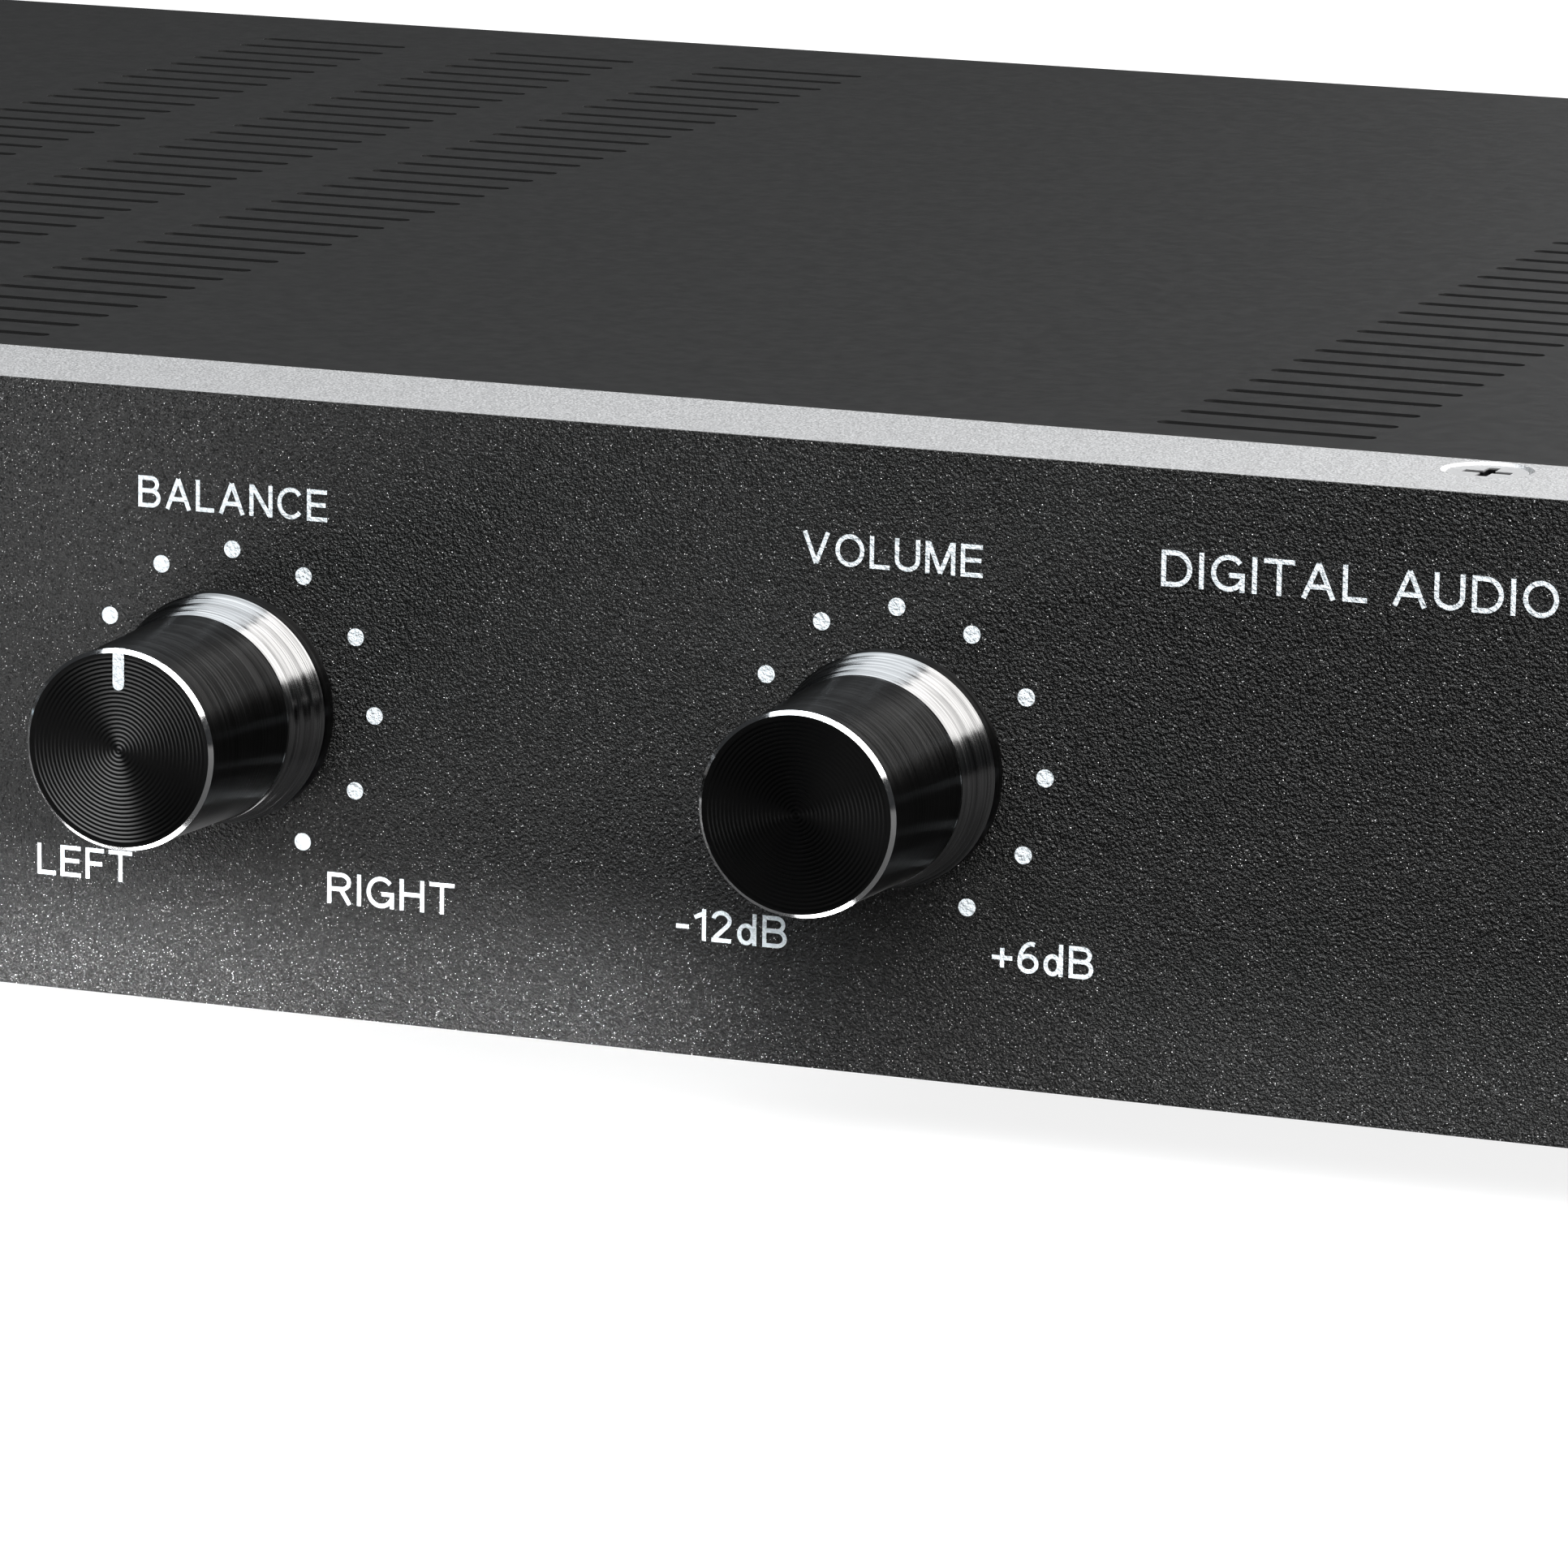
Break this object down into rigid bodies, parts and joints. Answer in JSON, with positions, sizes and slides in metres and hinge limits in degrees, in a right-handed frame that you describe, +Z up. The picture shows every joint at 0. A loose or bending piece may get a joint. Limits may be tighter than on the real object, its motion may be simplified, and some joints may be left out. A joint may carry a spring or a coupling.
{
  "type": "desktop digital to analogue converter",
  "caption": "Half-width desktop audio converter: slotted metal case, bright-rimmed black front with turned knobs, push buttons and rear sockets.",
  "frame": {"origin": "on the surface that the feet stand on, under the middle of the overall box", "axes": "+X to the right seen from the front, +Y from the front panel to the rear panel, +Z up"},
  "size_m": [0.23, 0.227, 0.049],
  "materials": {
    "bright_aluminium": "fine bead-blasted, clear anodised",
    "black_texture": "fine-textured black powder coat with printed white legends",
    "cover_grey": "smooth satin dark grey coat",
    "tray_grey": "satin dark grey coat",
    "knob_black": "turned, black anodised, bright cut edge",
    "plain_steel": "zinc plated",
    "bright_screw": "nickel plated",
    "black_screw": "black oxide",
    "foot_rubber": "matt moulded rubber",
    "board_green": "glass-fibre board with solder mask",
    "black_plastic": "fine moulded texture",
    "key_black": "smooth satin key cap",
    "lens_clear": "clear light guide",
    "grey_cable": "flat ribbed cable",
    "core_iron": "laminated, varnished",
    "winding_tape": "taped winding",
    "sleeve_blue": "shrink sleeve",
    "sink_black": "black anodised",
    "film_red": "moulded case",
    "clear_grey": "pale moulded case",
    "crystal_can": "drawn metal can",
    "gold_plate": "gold plated",
    "white_plastic": "moulded",
    "red_plastic": "moulded",
    "orange_plastic": "moulded",
    "socket_steel": "tin plated shell",
    "blade_brass": "nickel plated blade",
    "tongue_white": "moulded"
  },
  "bodies": {
    "case": {"front_panel": "bright_aluminium", "front_fascia": "black_texture", "top_cover": "cover_grey", "base_tray": "tray_grey", "rear_panel": "cover_grey", "panel_brackets": "plain_steel", "rubber_feet": "foot_rubber", "foot_screws": "plain_steel", "cover_screws": "black_screw", "panel_screws": "bright_screw", "rear_screws": "black_screw", "bracket_screws": "plain_steel", "balance_pot": "plain_steel", "volume_pot": "plain_steel", "pot_washers": "plain_steel", "pot_nuts": "plain_steel", "power_switch": "black_plastic", "input_switch": "black_plastic", "indicator_lenses": "lens_clear", "headphone_socket": "black_plastic", "headphone_nut": "bright_screw", "front_board": "board_green", "main_board": "board_green", "power_board": "board_green", "board_standoffs": "blade_brass", "board_screws": "plain_steel", "ribbon_cable": "grey_cable", "ribbon_headers": "black_plastic", "transformer_core": "core_iron", "transformer_winding": "winding_tape", "reservoir_capacitors": "sleeve_blue", "heat_sink": "sink_black", "regulators": "black_plastic", "chip_packages": "black_plastic", "clock_can": "crystal_can", "film_capacitors": "film_red", "mute_relay": "clear_grey", "fuse_holder": "clear_grey", "mains_inlet": "black_plastic", "inlet_blades": "blade_brass", "inlet_screws": "bright_screw", "rocker_frame": "black_plastic", "phono_barrels": "gold_plate", "left_insert": "white_plastic", "right_insert": "red_plastic", "coax_insert": "orange_plastic", "optical_socket": "black_plastic", "usb_socket": "socket_steel", "usb_tongue": "tongue_white"},
    "balance_control": {"balance_knob": "knob_black", "balance_shaft": "plain_steel", "balance_set_screw": "black_screw"},
    "volume_control": {"volume_knob": "knob_black", "volume_shaft": "plain_steel", "volume_set_screw": "black_screw"},
    "power_key": {"power_button": "key_black"},
    "input_key": {"input_button": "key_black"},
    "mains_switch": {"mains_rocker": "key_black"},
    "optical_shutter": {"optical_flap": "key_black"}
  },
  "joints": [
    {"name": "balance_turn", "type": "hinge", "parent": "case", "child": "balance_control", "pos_m": [0.007, -0.1, 0.027], "axis": [0, 1, 0], "range_deg": [-150, 150]},
    {"name": "volume_turn", "type": "hinge", "parent": "case", "child": "volume_control", "pos_m": [0.057, -0.1, 0.027], "axis": [0, 1, 0], "range_deg": [-150, 150]},
    {"name": "power_press", "type": "slide", "parent": "case", "child": "power_key", "axis": [0, 1, 0], "range_m": [0, 0.0015], "stiffness_N_per_m": 300},
    {"name": "input_press", "type": "slide", "parent": "case", "child": "input_key", "axis": [0, 1, 0], "range_m": [0, 0.0015], "stiffness_N_per_m": 200},
    {"name": "mains_rock", "type": "hinge", "parent": "case", "child": "mains_switch", "pos_m": [-0.046, 0.1035, 0.027], "axis": [1, 0, 0], "range_deg": [0, 24]},
    {"name": "optical_open", "type": "hinge", "parent": "case", "child": "optical_shutter", "pos_m": [0.03, 0.1053, 0.0249], "axis": [-1, 0, 0], "range_deg": [0, 85], "stiffness_Nm_per_rad": 0.0004}
  ]
}
